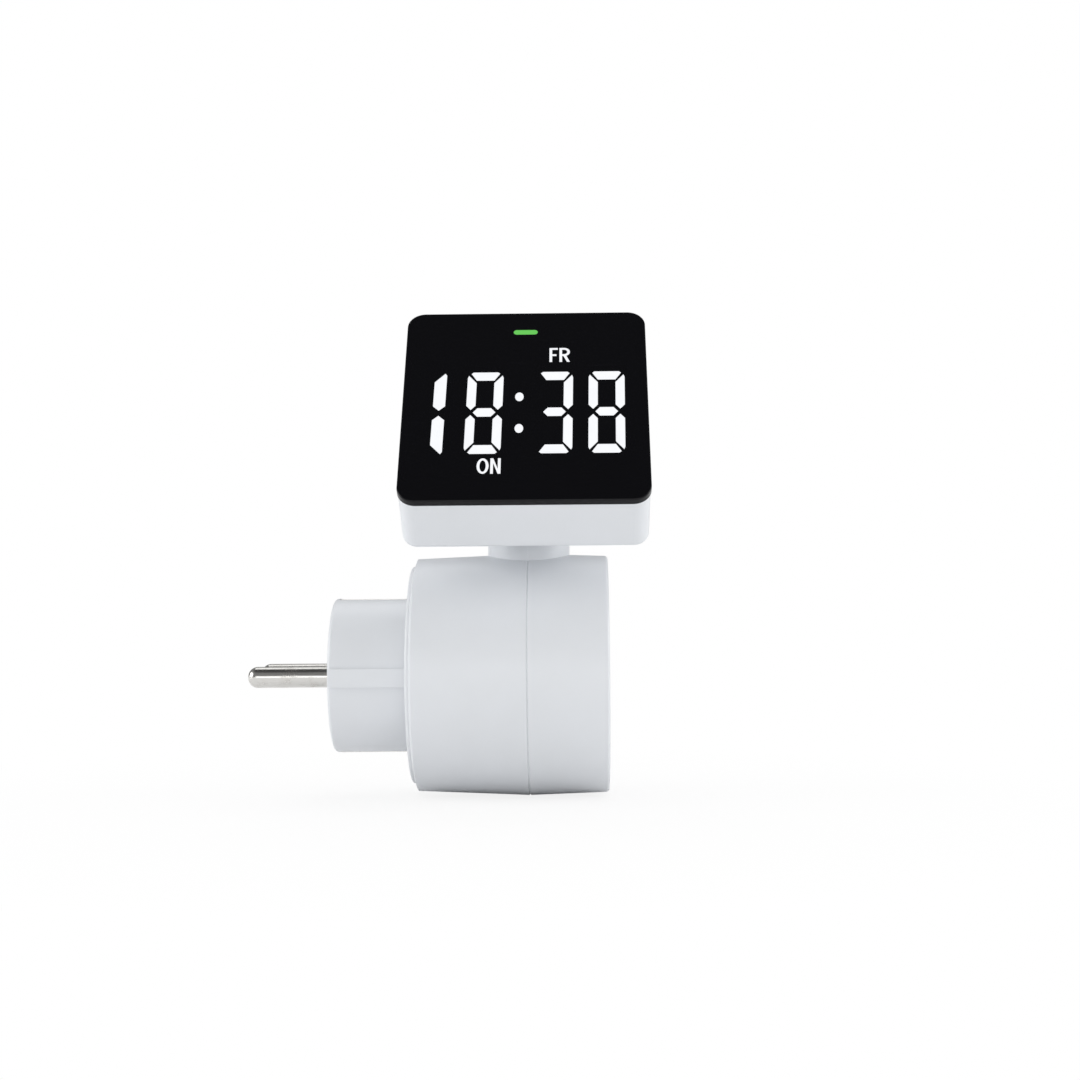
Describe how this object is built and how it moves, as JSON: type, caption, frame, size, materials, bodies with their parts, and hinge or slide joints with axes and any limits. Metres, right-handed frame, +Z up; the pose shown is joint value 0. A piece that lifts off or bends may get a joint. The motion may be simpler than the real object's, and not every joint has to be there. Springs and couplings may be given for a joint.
{
  "type": "digital timer switch",
  "caption": "Plug-in digital timer switch: round plug with pins, round body with a shuttered appliance socket, and a square lit clock display on a swivelling and tilting turret.",
  "frame": {"origin": "centre of the plug's flat face, between the pins", "axes": "+X from the wall into the room along the plug's axis, +Z up, +Y to the left when facing the wall; the display faces -Y at rest"},
  "size_m": [0.0915, 0.0684, 0.1116],
  "materials": {
    "white_shell": "fine satin grain",
    "black_window": "glossy",
    "digit_white": "frosted, lit",
    "status_green": "frosted, lit",
    "housing_black": "matte",
    "pin_nickel": "polished nickel",
    "strip_nickel": "stamped, bright",
    "contact_brass": "stamped",
    "screw_steel": "zinc plated",
    "hinge_steel": "ground",
    "board_green": "solder mask",
    "relay_blue": "moulded",
    "film_yellow": "moulded",
    "can_black": "sleeved",
    "varistor_blue": "dipped lacquer",
    "resistor_grey": "lacquered",
    "chip_black": "moulded",
    "connector_white": "moulded",
    "carrier_black": "moulded",
    "shutter_grey": "moulded",
    "ring_grey": "moulded",
    "cable_grey": "sheathed",
    "cell_steel": "bright",
    "button_grey": "satin"
  },
  "bodies": {
    "body": {"rear_shell": "white_shell", "front_shell": "white_shell", "plug_pin_live": "pin_nickel", "plug_pin_neutral": "pin_nickel", "earth_bridge": "strip_nickel", "case_screws": "screw_steel", "power_board": "board_green", "relay": "relay_blue", "mains_capacitor": "film_yellow", "smoothing_capacitor": "can_black", "filter_capacitor": "can_black", "varistor": "varistor_blue", "fuse_resistor": "resistor_grey", "rectifier": "chip_black", "cable_socket": "connector_white", "contact_carrier": "carrier_black", "contact_live": "contact_brass", "contact_neutral": "contact_brass", "shutter_spring": "screw_steel", "friction_ring": "ring_grey", "display_cable_lower": "cable_grey"},
    "shutter_blade": {"shutter": "shutter_grey"},
    "turret_body": {"turret": "white_shell", "tilt_pin": "hinge_steel"},
    "head": {"display_window": "black_window", "head_case": "white_shell", "head_rear_cover": "white_shell", "digit_hour_tens": "digit_white", "digit_hour_ones": "digit_white", "digit_minute_tens": "digit_white", "digit_minute_ones": "digit_white", "colon_dots": "digit_white", "weekday_letters": "digit_white", "on_letters": "digit_white", "status_bar": "status_green", "led_housing": "housing_black", "display_board": "board_green", "head_screws": "screw_steel", "processor": "chip_black", "battery_holder": "carrier_black", "backup_battery": "cell_steel", "tact_switches": "chip_black", "head_cable_socket": "connector_white", "display_cable_upper": "cable_grey"},
    "button_menu_key": {"button_menu": "button_grey"},
    "button_minus_key": {"button_minus": "button_grey"},
    "button_plus_key": {"button_plus": "button_grey"},
    "button_mode_key": {"button_mode": "button_grey"}
  },
  "joints": [
    {"name": "swivel", "type": "hinge", "parent": "body", "child": "turret_body", "pos_m": [0.0452, 0, 0.0321], "axis": [0, 0, 1], "range_deg": [0, 180]},
    {"name": "tilt", "type": "hinge", "parent": "turret_body", "child": "head", "pos_m": [0.0452, 0, 0.0382], "axis": [-1, 0, 0], "range_deg": [0, 45]},
    {"name": "shutter_turn", "type": "hinge", "parent": "body", "child": "shutter_blade", "pos_m": [0.04235, 0, 0], "axis": [1, 0, 0], "range_deg": [0, 38], "stiffness_Nm_per_rad": 0.002, "springref_deg": -11.46},
    {"name": "button_menu_press", "type": "slide", "parent": "head", "child": "button_menu_key", "axis": [0, -0.6143, -0.7891], "range_m": [0, 0.0004], "stiffness_N_per_m": 3000, "springref_m": -0.0001},
    {"name": "button_minus_press", "type": "slide", "parent": "head", "child": "button_minus_key", "axis": [0, -0.6143, -0.7891], "range_m": [0, 0.0004], "stiffness_N_per_m": 3000, "springref_m": -0.0001},
    {"name": "button_plus_press", "type": "slide", "parent": "head", "child": "button_plus_key", "axis": [0, -0.6143, -0.7891], "range_m": [0, 0.0004], "stiffness_N_per_m": 3000, "springref_m": -0.0001},
    {"name": "button_mode_press", "type": "slide", "parent": "head", "child": "button_mode_key", "axis": [0, -0.6143, -0.7891], "range_m": [0, 0.0004], "stiffness_N_per_m": 3000, "springref_m": -0.0001}
  ]
}
